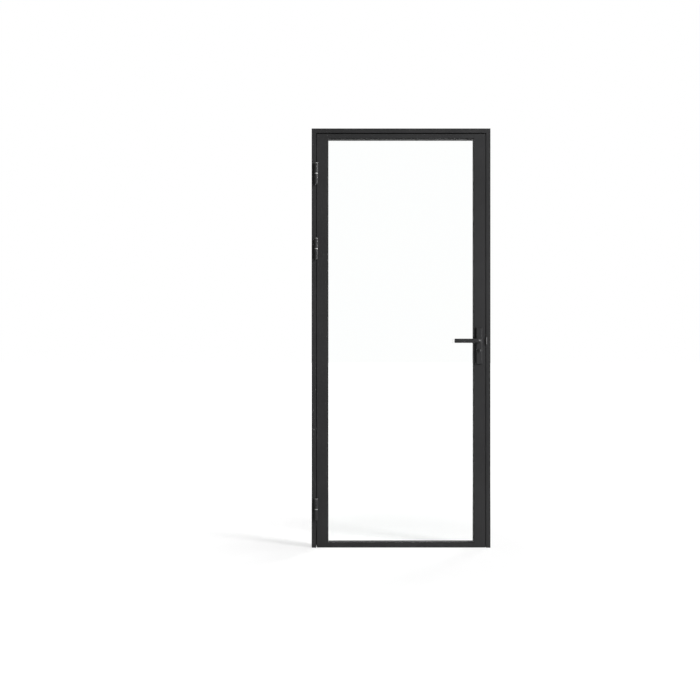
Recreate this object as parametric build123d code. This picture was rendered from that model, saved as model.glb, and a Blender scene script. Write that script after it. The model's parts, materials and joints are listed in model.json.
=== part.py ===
"""Single glass door with its frame, closed, seen from its pull side.

Millimetres. X runs to the right, Y runs from the pull side (front) to the push side (back) and
Z runs up. The origin is on the floor, midway across the frame and midway through the leaf.
The frame and the leaf are welded from hollow steel profiles. The leaf hangs on three weld-on
barrel hinges at the left, and a narrow-stile lock sits in its right stile.
"""

import math
import os

from build123d import *

# Frame profile: a hollow chamber with a stop lip behind the leaf
frame_width = 900.0
frame_height = 2110.0
frame_face = 22.5
frame_wall = 2.0
stop_reach = 15.0
stop_thickness = 5.0
edge_round = 1.0

# Gaps round the closed leaf
side_gap = 3.0
head_gap = 5.0
floor_gap = 3.0
seal_gap = 3.0

# Leaf profiles: a chamber, a front flange and an open glazing pocket
leaf_depth = 50.0
stile_face = 58.0
rail_face = 23.5
leaf_wall = 2.0
pocket_depth = 12.0
flange_thickness = 2.5

# Glazing
glass_thickness = 8.0
glass_cover = 8.0
glass_arris = 0.8
outer_gasket_thickness = 3.5
inner_gasket_thickness = 3.0
bead_wall = 1.5
setting_block_length = 100.0
setting_block_width = 12.0
setting_block_inset = 150.0

# Seals
seal_groove_width = 3.0
seal_groove_depth = 2.5
seal_groove_inset = 5.0
seal_bulb_width = 8.0
seal_crown_width = 4.4
seal_clearance = 0.3
seal_foot_clearance = 0.1
floor_seal_width = 12.0
floor_seal_setback = 2.0
floor_seal_clearance = 0.5

# Barrel hinges, two knuckles each: one by its height, two by their drop from the leaf's top
low_hinge_height = 195.5
middle_hinge_drop = 579.0
high_hinge_drop = 201.0
hinge_length = 106.0
barrel_radius = 8.0
barrel_chamfer = 1.5
barrel_face_gap = 0.5
washer_thickness = 4.0
washer_clearance = 0.2
pin_radius = 4.0
pin_clearance = 0.05
pin_reach = 36.0
foot_side_gap = 1.0

# Lock position and mechanism
backset = 32.0
lever_height = 1041.0
turn_drop = 50.0
latch_throw = 12.0
bolt_throw = 12.0
case_thickness = 16.0
case_sheet = 1.2
case_back_gap = 1.0
case_above_lever = 35.0
case_below_turn = 22.0
cover_clearance = 0.1
faceplate_width = 22.0
faceplate_overhang = 22.0
slot_clearance = 0.1
lug_length = 20.0
lug_thickness = 3.0
lug_width = 16.0
lock_screw_radius = 2.0
lock_screw_head = 3.6
lock_screw_length = 9.0
lock_screw_inset = 6.0
lock_screw_driver = 2.5
thread_clearance = 0.05
lug_grip = 4.5
latch_width = 12.0
latch_height = 16.0
latch_tip = 3.0
latch_clearance = 0.25
latch_hub_gap = 0.5
latch_neck = 5.0
latch_bevel_start = 1.0
hub_radius = 8.0
hub_step = 1.0
hub_side_gap = 0.2
hub_fit = 0.06
lever_arm = 17.8
lever_arm_start = 30.0
arm_thickness = 4.0
arm_half_width = 1.2
arm_tip_radius = 2.0
tab_clearance = 0.2
tab_thickness = 3.0
tab_bottom = 14.5
tab_top = 20.5
tail_thickness = 3.0
tail_side_gap = 0.4
spring_radius = 2.8
spring_wire = 0.8
spring_turns = 4
spring_drop = 13.0
spring_post_thickness = 2.0
spring_lug_width = 6.0
spring_end_gap = 0.2
bolt_width = 10.0
bolt_height = 16.0
turn_hub_radius = 6.0
turn_sweep = 90.0
turn_tip_radius = 1.6
prong_clearance = 0.4
prong_thickness = 1.6
prong_hub_gap = 0.3
bolt_tail_height = 3.0
bolt_hub_gap = 1.0
bolt_neck = 5.0
tip_roof_gap = 0.5
turn_arm_half_width = 1.0
bolt_clearance = 0.25

# Strike plate, let into the jamb
strike_height = 72.0
strike_back = 14.0
strike_front_edge = 5.0
strike_lip_height = 34.0
strike_lip_reach = 5.5
strike_lip_bend = 3.0
strike_hole_clearance = 1.0
bolt_slot_clearance = 1.5
strike_screw_spacing = 54.0

# Handle furniture
plate_width = 30.0
plate_height = 184.0
plate_thickness = 8.0
plate_round = 4.0
plate_below_lever = 25.0
plate_bolt_inset = 10.0
plate_bolt_radius = 2.5
plate_bolt_head = 4.8
plate_bolt_bite = 5.0
plate_bolt_clearance = 0.1
driver_flat = 3.0
driver_depth = 1.8
lever_radius = 10.5
lever_offset = 50.0
lever_reach = 129.0
back_lever_radius = 9.0
back_lever_reach = 108.0
lever_bend = 16.0
lever_end_chamfer = 1.5
neck_radius = 8.0
neck_in_plate = 5.0
neck_clearance = 0.08
shoulder_gap = 0.3
spindle_size = 8.0
spindle_bite = 22.0
square_clearance = 0.06
spindle_end_gap = 1.0
grub_radius = 2.5
grub_offset = 9.0
grub_recess = 0.8
turn_spindle_size = 6.0
knob_radius = 9.0
knob_base = 6.0
knob_grip = 12.0
knob_grip_width = 8.0
knob_round = 1.0
turn_boss_radius = 6.0
turn_boss_gap = 1.0
turn_clearance = 0.08
turn_bite = 10.0
release_bite = 6.0
release_proud = 2.0
release_slot_width = 2.0
release_slot_depth = 1.5
stile_hole_clearance = 1.5

# Wall anchors through the jambs, evenly spaced between the lowest and the highest
anchor_count = 4
anchor_low = 195.0
anchor_drop = 205.0
anchor_hole_radius = 4.2
anchor_access_radius = 6.0
anchor_setback = 36.0

# How far a cut runs past the face that it opens
overrun = 1.0

# Sizes and places that follow from those above: both lock plates lie flush in their walls
strike_thickness = frame_wall
faceplate_thickness = leaf_wall
front_y = -leaf_depth / 2
back_y = leaf_depth / 2
stop_y = back_y + seal_gap
frame_back_y = stop_y + stop_thickness
half_frame = frame_width / 2
jamb_x = half_frame - frame_face
leaf_half = jamb_x - side_gap
leaf_bottom = floor_gap
leaf_top = frame_height - frame_face - head_gap
sight_x = leaf_half - stile_face
sight_bottom = leaf_bottom + rail_face
sight_top = leaf_top - rail_face
chamber_x = sight_x + pocket_depth
chamber_bottom = sight_bottom - pocket_depth
chamber_top = sight_top + pocket_depth
flange_y = front_y + flange_thickness
glass_front_y = flange_y + outer_gasket_thickness
glass_back_y = glass_front_y + glass_thickness
bead_y = glass_back_y + inner_gasket_thickness
hinge_x = -(leaf_half + jamb_x) / 2
hinge_y = front_y - barrel_face_gap - barrel_radius
hinge_heights = (low_hinge_height, leaf_top - middle_hinge_drop, leaf_top - high_hinge_drop)
foot_width = barrel_radius - side_gap / 2 - foot_side_gap
knuckle_length = (hinge_length - washer_thickness - washer_clearance) / 2
spindle_x = leaf_half - backset
turn_height = lever_height - turn_drop
case_front_x = leaf_half - faceplate_thickness
case_back_x = chamber_x + leaf_wall + case_back_gap
case_bottom = turn_height - case_below_turn
case_top = lever_height + case_above_lever
faceplate_bottom = case_bottom - faceplate_overhang
faceplate_top = case_top + faceplate_overhang
plate_middle = lever_height - plate_below_lever
anchor_y = front_y + anchor_setback
anchor_pitch = (frame_height - anchor_drop - anchor_low) / (anchor_count - 1)
anchor_heights = [anchor_low + i * anchor_pitch for i in range(anchor_count)]
os.makedirs("parts", exist_ok=True)


def widened(span, gap):
    """The span with the same gap added at both ends."""
    return (span[0] - gap, span[1] + gap)


def block(x_span, y_span, z_span):
    """A box between two values on each axis."""
    spans = (sorted(x_span), sorted(y_span), sorted(z_span))
    size = [high - low for low, high in spans]
    middle = [(high + low) / 2 for low, high in spans]
    return Pos(*middle) * Box(*size)


def upright(corners, z_span, rounds=()):
    """Carries an outline in X and Y up from z_span[0] to z_span[1]."""
    return extrude(outline(Plane.XY.offset(z_span[0]), corners, rounds), z_span[1] - z_span[0])


def level(corners, x_span, rounds=()):
    """Carries an outline in Y and Z along X."""
    return extrude(outline(Plane.YZ.offset(x_span[0]), corners, rounds), x_span[1] - x_span[0])


def through(corners, y_span, rounds=()):
    """Carries an outline in X and Z along Y."""
    plane = Plane(origin=(0, y_span[0], 0), x_dir=(1, 0, 0), z_dir=(0, 1, 0))
    flipped = [(x, -z) for x, z in corners]
    return extrude(outline(plane, flipped, rounds), y_span[1] - y_span[0])


def outline(plane, corners, rounds):
    """A closed face through the corners, with the listed corners rounded: (index, radius)."""
    face = make_face(Polyline(*corners, close=True))
    for index, radius in rounds:
        near = Vector(*corners[index])
        corner = min(face.vertices(), key=lambda v: (Vector(v.X, v.Y, 0) - near).length)
        face = fillet(corner, radius)
    return plane * face


def rod(axis, centre, radius, length):
    """A round bar along X, Y or Z, with its middle at centre."""
    turns = {"X": Rot(0, 90, 0), "Y": Rot(90, 0, 0), "Z": Rot(0, 0, 0)}
    return Pos(*centre) * turns[axis] * Cylinder(radius, length)


def bar_y(x, z, radius, y_span):
    """A round bar along Y between two depths."""
    return rod("Y", (x, sum(y_span) / 2, z), radius, abs(y_span[1] - y_span[0]))


def bar_x(y, z, radius, x_span):
    """A round bar along X between two places."""
    return rod("X", (sum(x_span) / 2, y, z), radius, abs(x_span[1] - x_span[0]))


def square_bar(x, z, size, y_span):
    """A square bar along Y, its flats level and upright."""
    half = size / 2
    return block((x - half, x + half), y_span, (z - half, z + half))


def countersunk(radius, head_radius, length, driver):
    """A countersunk screw along +Z with its head's flat top at the origin."""
    neck = (radius, head_radius - radius)
    half_section = Polyline((0, 0), (head_radius, 0), neck, (radius, length), (0, length), close=True)
    screw = revolve(Plane.XZ * make_face(half_section), Axis.Z)
    return screw - extrude(RegularPolygon(driver / math.sqrt(3), 6), driver_depth)


def screw_hole(radius, head_radius, length):
    """The hole for a countersunk screw, wider all round by the thread clearance."""
    wide, deep = radius + thread_clearance, head_radius - radius
    head = head_radius + thread_clearance
    mouth = ((0, -overrun), (head, -overrun), (head, 0))
    half_section = Polyline(*mouth, (wide, deep), (wide, length), (0, length), close=True)
    return revolve(Plane.XZ * make_face(half_section), Axis.Z)


def mirrored(shape, plane):
    """The shape with its mirror image, as separate solids."""
    return Compound(children=[shape, mirror(shape, plane)])


def save(name, *solids):
    """Writes one sub-part, of one solid or several."""
    flat = [s for solid in solids for s in solid.solids()]
    export_step(flat[0] if len(flat) == 1 else Compound(children=flat), f"parts/{name}.step")


# Frame: the two jambs and the head are one profile, mitred at the corners
stop_u = frame_face + stop_reach
seal_u = stop_u - seal_groove_inset - seal_groove_width / 2


def frame_section(place):
    """Outline and chamber of the profile. place turns (inward, depth) into plane coordinates."""
    depth = frame_back_y - front_y
    lip_front = stop_y - front_y
    half_groove = seal_groove_width / 2
    outer = [
        (0, 0),
        (frame_face, 0),
        (frame_face, lip_front),
        (seal_u - half_groove, lip_front),
        (seal_u - half_groove, lip_front + seal_groove_depth),
        (seal_u + half_groove, lip_front + seal_groove_depth),
        (seal_u + half_groove, lip_front),
        (stop_u, lip_front),
        (stop_u, depth),
        (0, depth),
    ]
    near, far = frame_wall, frame_face - frame_wall
    chamber = [(near, near), (far, near), (far, depth - near), (near, depth - near)]
    return [place(*p) for p in outer], [place(*p) for p in chamber]


rounded_corners = [(corner, edge_round) for corner in (0, 1, 7, 8, 9)]


def seal_section(place):
    """Outline of the rubber seal: a foot in the groove and a bulb that the leaf closes on."""
    lip_front = stop_y - front_y
    foot = seal_groove_width / 2 - seal_foot_clearance
    bulb = seal_bulb_width / 2
    crown = seal_crown_width / 2
    top = lip_front - seal_gap + seal_clearance
    bottom = lip_front + seal_groove_depth - seal_foot_clearance
    points = [
        (seal_u - bulb, lip_front),
        (seal_u - crown, top),
        (seal_u + crown, top),
        (seal_u + bulb, lip_front),
        (seal_u + foot, lip_front),
        (seal_u + foot, bottom),
        (seal_u - foot, bottom),
        (seal_u - foot, lip_front),
    ]
    return [place(*p) for p in points]


def on_hinge_side(inward, depth):
    return (-half_frame + inward, front_y + depth)


def on_head(inward, depth):
    return (front_y + depth, frame_height - inward)


mitre_reach = stop_u + frame_wall
mitre_y = (front_y - frame_wall, frame_back_y + frame_wall)


def mitre_cut(corner_side):
    """The wedge beyond one mitre plane at the top left corner, on the jamb's or the head's side."""
    x, z = -half_frame, frame_height
    inner = (x + mitre_reach, z - mitre_reach)
    third = (x + mitre_reach, z) if corner_side == "jamb" else (x, z - mitre_reach)
    return through([(x, z), third, inner], mitre_y)


section, chamber_outline = frame_section(on_hinge_side)
jamb = upright(section, (0, frame_height), rounded_corners)
jamb -= upright(chamber_outline, (0, frame_height))
jamb -= mitre_cut("jamb")
jamb_middle = -half_frame + frame_face / 2
for height in anchor_heights:
    jamb -= bar_x(anchor_y, height, anchor_hole_radius, (-half_frame - overrun, jamb_middle))
    jamb -= bar_x(anchor_y, height, anchor_access_radius, (jamb_middle, -jamb_x + overrun))

section, chamber_outline = frame_section(on_head)
across = (-half_frame, half_frame)
head = level(section, across, rounded_corners) - level(chamber_outline, across)
head_mitre = mitre_cut("head")
head = head - head_mitre - mirror(head_mitre, Plane.YZ)
save("head", head)

jamb_seal = upright(seal_section(on_hinge_side), (0, frame_height)) - mitre_cut("jamb")
head_seal = level(seal_section(on_head), across) - head_mitre - mirror(head_mitre, Plane.YZ)
save("stop_seals", mirrored(jamb_seal, Plane.YZ), head_seal)


# Leaf: full-height stiles with level rails butted between them
def leaf_section(place, face):
    """Outline and chamber of a leaf profile from its outer edge inward."""
    chamber = face - pocket_depth
    outer = [(0, 0), (face, 0), (face, flange_thickness), (chamber, flange_thickness)]
    outer += [(chamber, leaf_depth), (0, leaf_depth)]
    near, far, deep = leaf_wall, chamber - leaf_wall, leaf_depth - leaf_wall
    hollow = [(near, near), (far, near), (far, deep), (near, deep)]
    return [place(*p) for p in outer], [place(*p) for p in hollow]


leaf_rounds = [(corner, edge_round) for corner in (0, 1, 5)]
leaf_span = (leaf_bottom, leaf_top)


def on_hinge_stile(inward, depth):
    return (-leaf_half + inward, front_y + depth)


def on_bottom_rail(inward, depth):
    return (front_y + depth, leaf_bottom + inward)


section, hollow = leaf_section(on_hinge_stile, stile_face)
stile = upright(section, leaf_span, leaf_rounds) - upright(hollow, leaf_span)

section, hollow = leaf_section(on_bottom_rail, rail_face)
rail_span = (-chamber_x, chamber_x)
rail = level(section, rail_span, leaf_rounds) - level(hollow, rail_span)
notch_z = widened((leaf_bottom, sight_bottom), overrun)
notch = block((sight_x, chamber_x), (front_y - overrun, flange_y), notch_z)
rail = rail - notch - mirror(notch, Plane.YZ)
leaf_middle = Plane.XY.offset((leaf_bottom + leaf_top) / 2)

# Glazing: one toughened pane between two gaskets, held by snap-in beads at the back
glass_x = sight_x + glass_cover
glass_bottom = sight_bottom - glass_cover
glass_top = sight_top + glass_cover
pane = block((-glass_x, glass_x), (glass_front_y, glass_back_y), (glass_bottom, glass_top))
save("glass_pane", chamfer(pane.edges(), glass_arris))


def gasket(y_span):
    """A rubber ring that covers the glass edge up to the sight line."""
    ring = block((-glass_x, glass_x), y_span, (glass_bottom, glass_top))
    return ring - block((-sight_x, sight_x), y_span, (sight_bottom, sight_top))


save("outer_gasket", gasket((flange_y, glass_front_y)))
save("inner_gasket", gasket((glass_back_y, bead_y)))

block_y = (glass_front_y + glass_back_y) / 2
setting_block = block(
    (-glass_x + setting_block_inset, -glass_x + setting_block_inset + setting_block_length),
    (block_y - setting_block_width / 2, block_y + setting_block_width / 2),
    (chamber_bottom, glass_bottom),
)
save("setting_blocks", mirrored(setting_block, Plane.YZ))


def bead_section(place):
    """Outline and hollow of a bead from the pocket's floor to the sight line."""
    deep = back_y - bead_y
    far_in, far_deep = pocket_depth - bead_wall, deep - bead_wall
    outer = [(0, 0), (pocket_depth, 0), (pocket_depth, deep), (0, deep)]
    hollow = [(bead_wall, bead_wall), (far_in, bead_wall), (far_in, far_deep), (bead_wall, far_deep)]
    return [place(*p) for p in outer], [place(*p) for p in hollow]


def on_side_bead(inward, depth):
    return (-chamber_x + inward, bead_y + depth)


def on_low_bead(inward, depth):
    return (bead_y + depth, chamber_bottom + inward)


section, hollow = bead_section(on_side_bead)
bead_span = (chamber_bottom, chamber_top)
side_bead = upright(section, bead_span, [(2, edge_round)]) - upright(hollow, bead_span)
section, hollow = bead_section(on_low_bead)
bead_span = (-sight_x, sight_x)
low_bead = level(section, bead_span, [(2, edge_round)]) - level(hollow, bead_span)

save("upright_beads", mirrored(side_bead, Plane.YZ))
save("level_beads", low_bead, mirror(low_bead, leaf_middle))
save("bottom_rail", rail)
save("top_rail", mirror(rail, leaf_middle))

floor_seal = block(
    (-leaf_half + edge_round, leaf_half - edge_round),
    (front_y + floor_seal_setback, front_y + floor_seal_setback + floor_seal_width),
    (floor_seal_clearance, leaf_bottom),
)
save("floor_seal", floor_seal)

# Barrel hinges: the lower knuckles carry the pins, and the upper ones lift off with the leaf
lower_knuckles, upper_knuckles, pins, washers = [], [], [], []


def knuckle(z_span, side):
    """A barrel with its welded foot. side is -1 on the frame and 1 on the leaf."""
    barrel = rod("Z", (hinge_x, hinge_y, sum(z_span) / 2), barrel_radius, z_span[1] - z_span[0])
    rims = barrel.edges().filter_by(GeomType.CIRCLE).sort_by(Axis.Z)
    barrel = chamfer(rims[0] if side < 0 else rims[-1], barrel_chamfer)
    near_x = hinge_x + side * (side_gap / 2 + foot_side_gap)
    foot_ends = widened(z_span, -barrel_chamfer)
    return barrel + block((near_x, near_x + side * foot_width), (hinge_y, front_y), foot_ends)


for height in hinge_heights:
    low = (height - hinge_length / 2, height - hinge_length / 2 + knuckle_length)
    high = (height + hinge_length / 2 - knuckle_length, height + hinge_length / 2)
    pin = rod("Z", (hinge_x, hinge_y, height), pin_radius, 2 * pin_reach)
    bore_length = 2 * (pin_reach + pin_clearance)
    bore = rod("Z", (hinge_x, hinge_y, height), pin_radius + pin_clearance, bore_length)
    washer_at = (hinge_x, hinge_y, low[1] + washer_thickness / 2)
    washer = rod("Z", washer_at, barrel_radius, washer_thickness)
    lower_knuckles.append(knuckle(low, -1) - bore)
    upper_knuckles.append(knuckle(high, 1) - bore)
    washers.append(washer - bore)
    pins.append(pin)
save("hinge_lower_knuckles", *lower_knuckles)
save("hinge_upper_knuckles", *upper_knuckles)
save("hinge_pins", *pins)
save("hinge_washers", *washers)

# Strike plate: let into the jamb at lever height, with a lip bent round the jamb's front corner
strike_face = jamb_x
strike_inner = jamb_x + strike_thickness
strike_front = front_y + strike_front_edge
strike_span = (lever_height - strike_height / 2, lever_height + strike_height / 2)
lip_span = (lever_height - strike_lip_height / 2, lever_height + strike_lip_height / 2)
lip_y = front_y - strike_thickness
strike = block((strike_face, strike_inner), (strike_front, strike_back), strike_span)
lip_outline = [
    (strike_face, strike_front),
    (strike_face, lip_y),
    (strike_face + strike_lip_reach, lip_y),
    (strike_face + strike_lip_reach, front_y),
    (strike_inner, front_y),
    (strike_inner, strike_front),
]
strike += upright(lip_outline, lip_span, [(1, strike_lip_bend)])
latch_hole_y = latch_width / 2 + strike_hole_clearance
latch_hole_z = latch_height / 2 + strike_hole_clearance
strike -= block(
    widened((strike_face, strike_inner), overrun),
    (-latch_hole_y, latch_hole_y),
    (lever_height - latch_hole_z, lever_height + latch_hole_z),
)


lock_jamb = mirror(jamb, Plane.YZ)
wall_cut = (strike_face - overrun, strike_inner + slot_clearance)
seat_y = widened((strike_front, strike_back), slot_clearance)
lock_jamb -= block(wall_cut, seat_y, widened(strike_span, slot_clearance))
lock_jamb -= block(wall_cut, (front_y - overrun, strike_back), widened(lip_span, slot_clearance))
bolt_slot_y = bolt_width / 2 + bolt_slot_clearance
bolt_slot_z = bolt_height / 2 + bolt_slot_clearance
lock_jamb -= block(
    widened((jamb_x, jamb_x + frame_wall), overrun),
    (-bolt_slot_y, bolt_slot_y),
    (turn_height - bolt_slot_z, turn_height + bolt_slot_z),
)
save("lock_jamb", lock_jamb)
save("hinge_jamb", jamb)


def plate_screw_and_lug(face_x, height, end_height, y, side, wall):
    """A countersunk screw into a strip that clamps a plate's end behind the wall.

    side is 1 where the screw drives towards +X. end_height is the plate's end, beyond which the
    strip runs on behind the wall, whose thickness is wall.
    """
    turn = Pos(face_x, y, height) * Rot(0, 90 * side, 0)
    screw = turn * countersunk(lock_screw_radius, lock_screw_head, lock_screw_length, lock_screw_driver)
    hole = turn * screw_hole(lock_screw_radius, lock_screw_head, lock_screw_length)
    outward = 1 if end_height > height else -1
    back_x = face_x + side * wall
    grip_end = end_height + outward * lug_grip
    lug = block(
        (back_x, back_x + side * lug_thickness),
        (y - lug_width / 2, y + lug_width / 2),
        (grip_end, grip_end - outward * lug_length),
    )
    return screw, hole, lug - hole


strike_y = (strike_front + strike_back) / 2
strike_screws, strike_lugs = [], []
for step, end in ((-1, strike_span[0]), (1, strike_span[1])):
    at = lever_height + step * strike_screw_spacing / 2
    screw, hole, lug = plate_screw_and_lug(strike_face, at, end, strike_y, 1, frame_wall)
    strike -= hole
    strike_screws.append(screw)
    strike_lugs.append(lug)
save("strike_plate", strike)
save("strike_screws", *strike_screws)
save("strike_lugs", *strike_lugs)

# Lock stile: the hinge stile mirrored, with its slot and the holes for the furniture
faceplate_span = (faceplate_bottom, faceplate_top)
plate_span = (plate_middle - plate_height / 2, plate_middle + plate_height / 2)
bolt_heights = (plate_span[0] + plate_bolt_inset, plate_span[1] - plate_bolt_inset)
spindle_hole = spindle_size / math.sqrt(2) + stile_hole_clearance
turn_hole = turn_spindle_size / math.sqrt(2) + stile_hole_clearance
through_leaf = widened((front_y, back_y), overrun)
lock_stile = mirror(stile, Plane.YZ)
half_slot = faceplate_width / 2 + slot_clearance
edge_x = widened((case_front_x, leaf_half), overrun)
lock_stile -= block(edge_x, (-half_slot, half_slot), widened(faceplate_span, slot_clearance))
lock_stile -= bar_y(spindle_x, lever_height, spindle_hole, through_leaf)
lock_stile -= bar_y(spindle_x, turn_height, turn_hole, through_leaf)
for at in bolt_heights:
    lock_stile -= bar_y(spindle_x, at, plate_bolt_radius + plate_bolt_clearance, through_leaf)
save("lock_stile", lock_stile)
save("hinge_stile", stile)

# Lock case: a folded tray with a cover, open towards the faceplate
half_case = case_thickness / 2
case_span = (case_bottom, case_top)
inner_y = half_case - case_sheet
tray = block((case_back_x, case_front_x), (-half_case, half_case), case_span)
tray_inside_x = (case_back_x + case_sheet, case_front_x + overrun)
tray -= block(tray_inside_x, (-half_case - overrun, inner_y), widened(case_span, -case_sheet))
cover_gap = case_sheet + cover_clearance
cover = block(
    (case_back_x + cover_gap, case_front_x), (-half_case, -inner_y), widened(case_span, -cover_gap)
)
through_case = widened((-half_case, half_case), overrun)
lever_spigot = hub_radius - hub_step
turn_spigot = turn_hub_radius - hub_step
for z, spigot in ((lever_height, lever_spigot), (turn_height, turn_spigot)):
    bearing = bar_y(spindle_x, z, spigot + hub_fit, through_case)
    tray -= bearing
    cover -= bearing
spring_z = lever_height - spring_drop
post_x = spindle_x - hub_radius
spring_lug_z = (spring_z - spring_radius, spring_z + spring_radius)
tray += block((post_x, post_x + spring_post_thickness), (-spring_lug_width / 2, inner_y), spring_lug_z)
save("lock_case", tray)
save("lock_cover", cover)

faceplate = block(
    (case_front_x, leaf_half), (-faceplate_width / 2, faceplate_width / 2), faceplate_span
)
for z, width, height, gap in (
    (lever_height, latch_width, latch_height, latch_clearance),
    (turn_height, bolt_width, bolt_height, bolt_clearance),
):
    window_y, window_z = width / 2 + gap, height / 2 + gap
    window_span = (z - window_z, z + window_z)
    faceplate -= block(edge_x, (-window_y, window_y), window_span)
lock_screws, lock_lugs = [], []
for end, step in ((faceplate_bottom, 1), (faceplate_top, -1)):
    at = end + step * lock_screw_inset
    screw, hole, lug = plate_screw_and_lug(leaf_half, at, end, 0, -1, leaf_wall)
    faceplate -= hole
    lock_screws.append(screw)
    lock_lugs.append(lug)
save("faceplate", faceplate)
save("faceplate_screws", *lock_screws)
save("lock_lugs", *lock_lugs)


def hub(z, radius, spigot, square):
    """A follower's barrel with its two spigots and its square hole."""
    body = bar_y(spindle_x, z, radius, (hub_side_gap - inner_y, inner_y - hub_side_gap))
    body += bar_y(spindle_x, z, spigot, (-half_case, half_case))
    return body, square_bar(spindle_x, z, square + 2 * square_clearance, through_case)


def arm(z, reach, lean, half_width, tip_radius):
    """A finger with a round tip, leaning by lean degrees from upright towards +X."""
    along = (math.sin(math.radians(lean)), math.cos(math.radians(lean)))
    aside = (along[1], -along[0])
    sides = [(0, -1), (reach, -1), (reach, 1), (0, 1)]
    corners = [
        (
            spindle_x + u * along[0] + v * half_width * aside[0],
            z + u * along[1] + v * half_width * aside[1],
        )
        for u, v in sides
    ]
    span = (-arm_thickness / 2, arm_thickness / 2)
    finger = through(corners, span)
    return finger + bar_y(spindle_x + reach * along[0], z + reach * along[1], tip_radius, span)


body, square = hub(lever_height, hub_radius, lever_spigot, spindle_size)
finger = arm(lever_height, lever_arm, lever_arm_start, arm_half_width, arm_tip_radius)
save("latch_follower", body + finger - square)

# Latch bolt: a bevelled head with a tail whose tab the follower's finger pulls
latch_tip_x = leaf_half + latch_throw
latch_rear = spindle_x + hub_radius + latch_throw + latch_hub_gap
half_latch = latch_width / 2
latch = upright(
    [
        (latch_rear, -half_latch),
        (latch_tip_x, -half_latch),
        (latch_tip_x, latch_tip - half_latch),
        (leaf_half + latch_bevel_start, half_latch),
        (latch_rear, half_latch),
    ],
    (lever_height - latch_height / 2, lever_height + latch_height / 2),
)
finger_x = spindle_x + lever_arm * math.sin(math.radians(lever_arm_start))
tab_front = finger_x - arm_tip_radius - tab_clearance
tail_y = (arm_thickness / 2 + tail_side_gap, arm_thickness / 2 + tail_side_gap + tail_thickness)
tail_z = (lever_height + tab_bottom, lever_height + tab_top)
latch += block((latch_rear, latch_rear + latch_neck), tail_y, (lever_height, tail_z[1]))
latch += block((tab_front - tab_thickness, latch_rear + latch_neck), tail_y, tail_z)
latch += block((tab_front - tab_thickness, tab_front), (-arm_thickness / 2, tail_y[1]), tail_z)
latch += block(
    (latch_rear, latch_rear + latch_neck),
    (-spring_lug_width / 2, spring_lug_width / 2),
    (spring_lug_z[0], lever_height),
)
save("latch_bolt", latch)

spring_start = post_x + spring_post_thickness + spring_end_gap
spring_length = latch_rear - spring_end_gap - spring_start - spring_wire
coil = Helix(spring_length / spring_turns, spring_length, spring_radius - spring_wire / 2)
wire = Plane(origin=coil @ 0, z_dir=coil % 0) * Rectangle(spring_wire, spring_wire)
spring = sweep(wire, path=coil)
save("latch_spring", Pos(spring_start + spring_wire / 2, 0, spring_z) * Rot(0, 90, 0) * spring)

# Deadbolt: drawn in, with two prongs on its tail for the turn's finger
turn_lean = turn_sweep / 2
turn_arm = bolt_throw / 2 / math.sin(math.radians(turn_lean))
body, square = hub(turn_height, turn_hub_radius, turn_spigot, turn_spindle_size)
finger = arm(turn_height, turn_arm, -turn_lean, turn_arm_half_width, turn_tip_radius)
save("turn_follower", body + finger - square)

bolt_rear = spindle_x + turn_hub_radius + bolt_hub_gap
half_bolt = bolt_width / 2
bolt_span = (turn_height - bolt_height / 2, turn_height + bolt_height / 2)
deadbolt = block((bolt_rear, leaf_half), (-half_bolt, half_bolt), bolt_span)
arm_y = (-arm_thickness / 2, arm_thickness / 2)
tail_low = turn_height + turn_arm + turn_tip_radius + tip_roof_gap
tail_high = tail_low + bolt_tail_height
prong_low = turn_height + turn_hub_radius + prong_hub_gap
tip_x = spindle_x - bolt_throw / 2
prong_half = turn_tip_radius + prong_clearance
rear_prong = (tip_x - prong_half - prong_thickness, tip_x - prong_half)
front_prong = (tip_x + prong_half, tip_x + prong_half + prong_thickness)
deadbolt += block((rear_prong[0], bolt_rear + bolt_neck), arm_y, (tail_low, tail_high))
deadbolt += block((bolt_rear, bolt_rear + bolt_neck), arm_y, (turn_height, tail_high))
for prong in (rear_prong, front_prong):
    deadbolt += block(prong, arm_y, (prong_low, tail_high))
save("deadbolt", deadbolt)

# Plates: one on each face of the lock stile, drawn together by two bolts from the back
plate_face_y = front_y - plate_thickness
half_plate = plate_width / 2
plate = block((spindle_x - half_plate, spindle_x + half_plate), (plate_face_y, front_y), plate_span)
plate = fillet(plate.faces().sort_by(Axis.Y)[0].edges(), plate_round)
neck_seat = plate_face_y + neck_in_plate
through_plate = widened((plate_face_y, front_y), overrun)
plate -= bar_y(spindle_x, lever_height, neck_radius + neck_clearance, (plate_face_y - overrun, neck_seat))
plate -= bar_y(spindle_x, lever_height, spindle_hole, through_plate)
plate -= bar_y(spindle_x, turn_height, turn_boss_radius + turn_clearance, through_plate)
front_plate = plate
back_plate = mirror(plate, Plane.XZ)
bolt_length = plate_thickness + leaf_depth + plate_bolt_bite
plate_bolts = []
for at in bolt_heights:
    turn = Pos(spindle_x, -plate_face_y, at) * Rot(90, 0, 0)
    plate_bolts.append(turn * countersunk(plate_bolt_radius, plate_bolt_head, bolt_length, driver_flat))
    hole = turn * screw_hole(plate_bolt_radius, plate_bolt_head, bolt_length + plate_bolt_clearance)
    front_plate -= hole
    back_plate -= hole
save("front_plate", front_plate)
save("back_plate", back_plate)
save("plate_bolts", *plate_bolts)

# Levers: one bent bar on each side, on a common square spindle
tube_start = plate_face_y - shoulder_gap
hole_end = neck_seat - shoulder_gap


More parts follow.
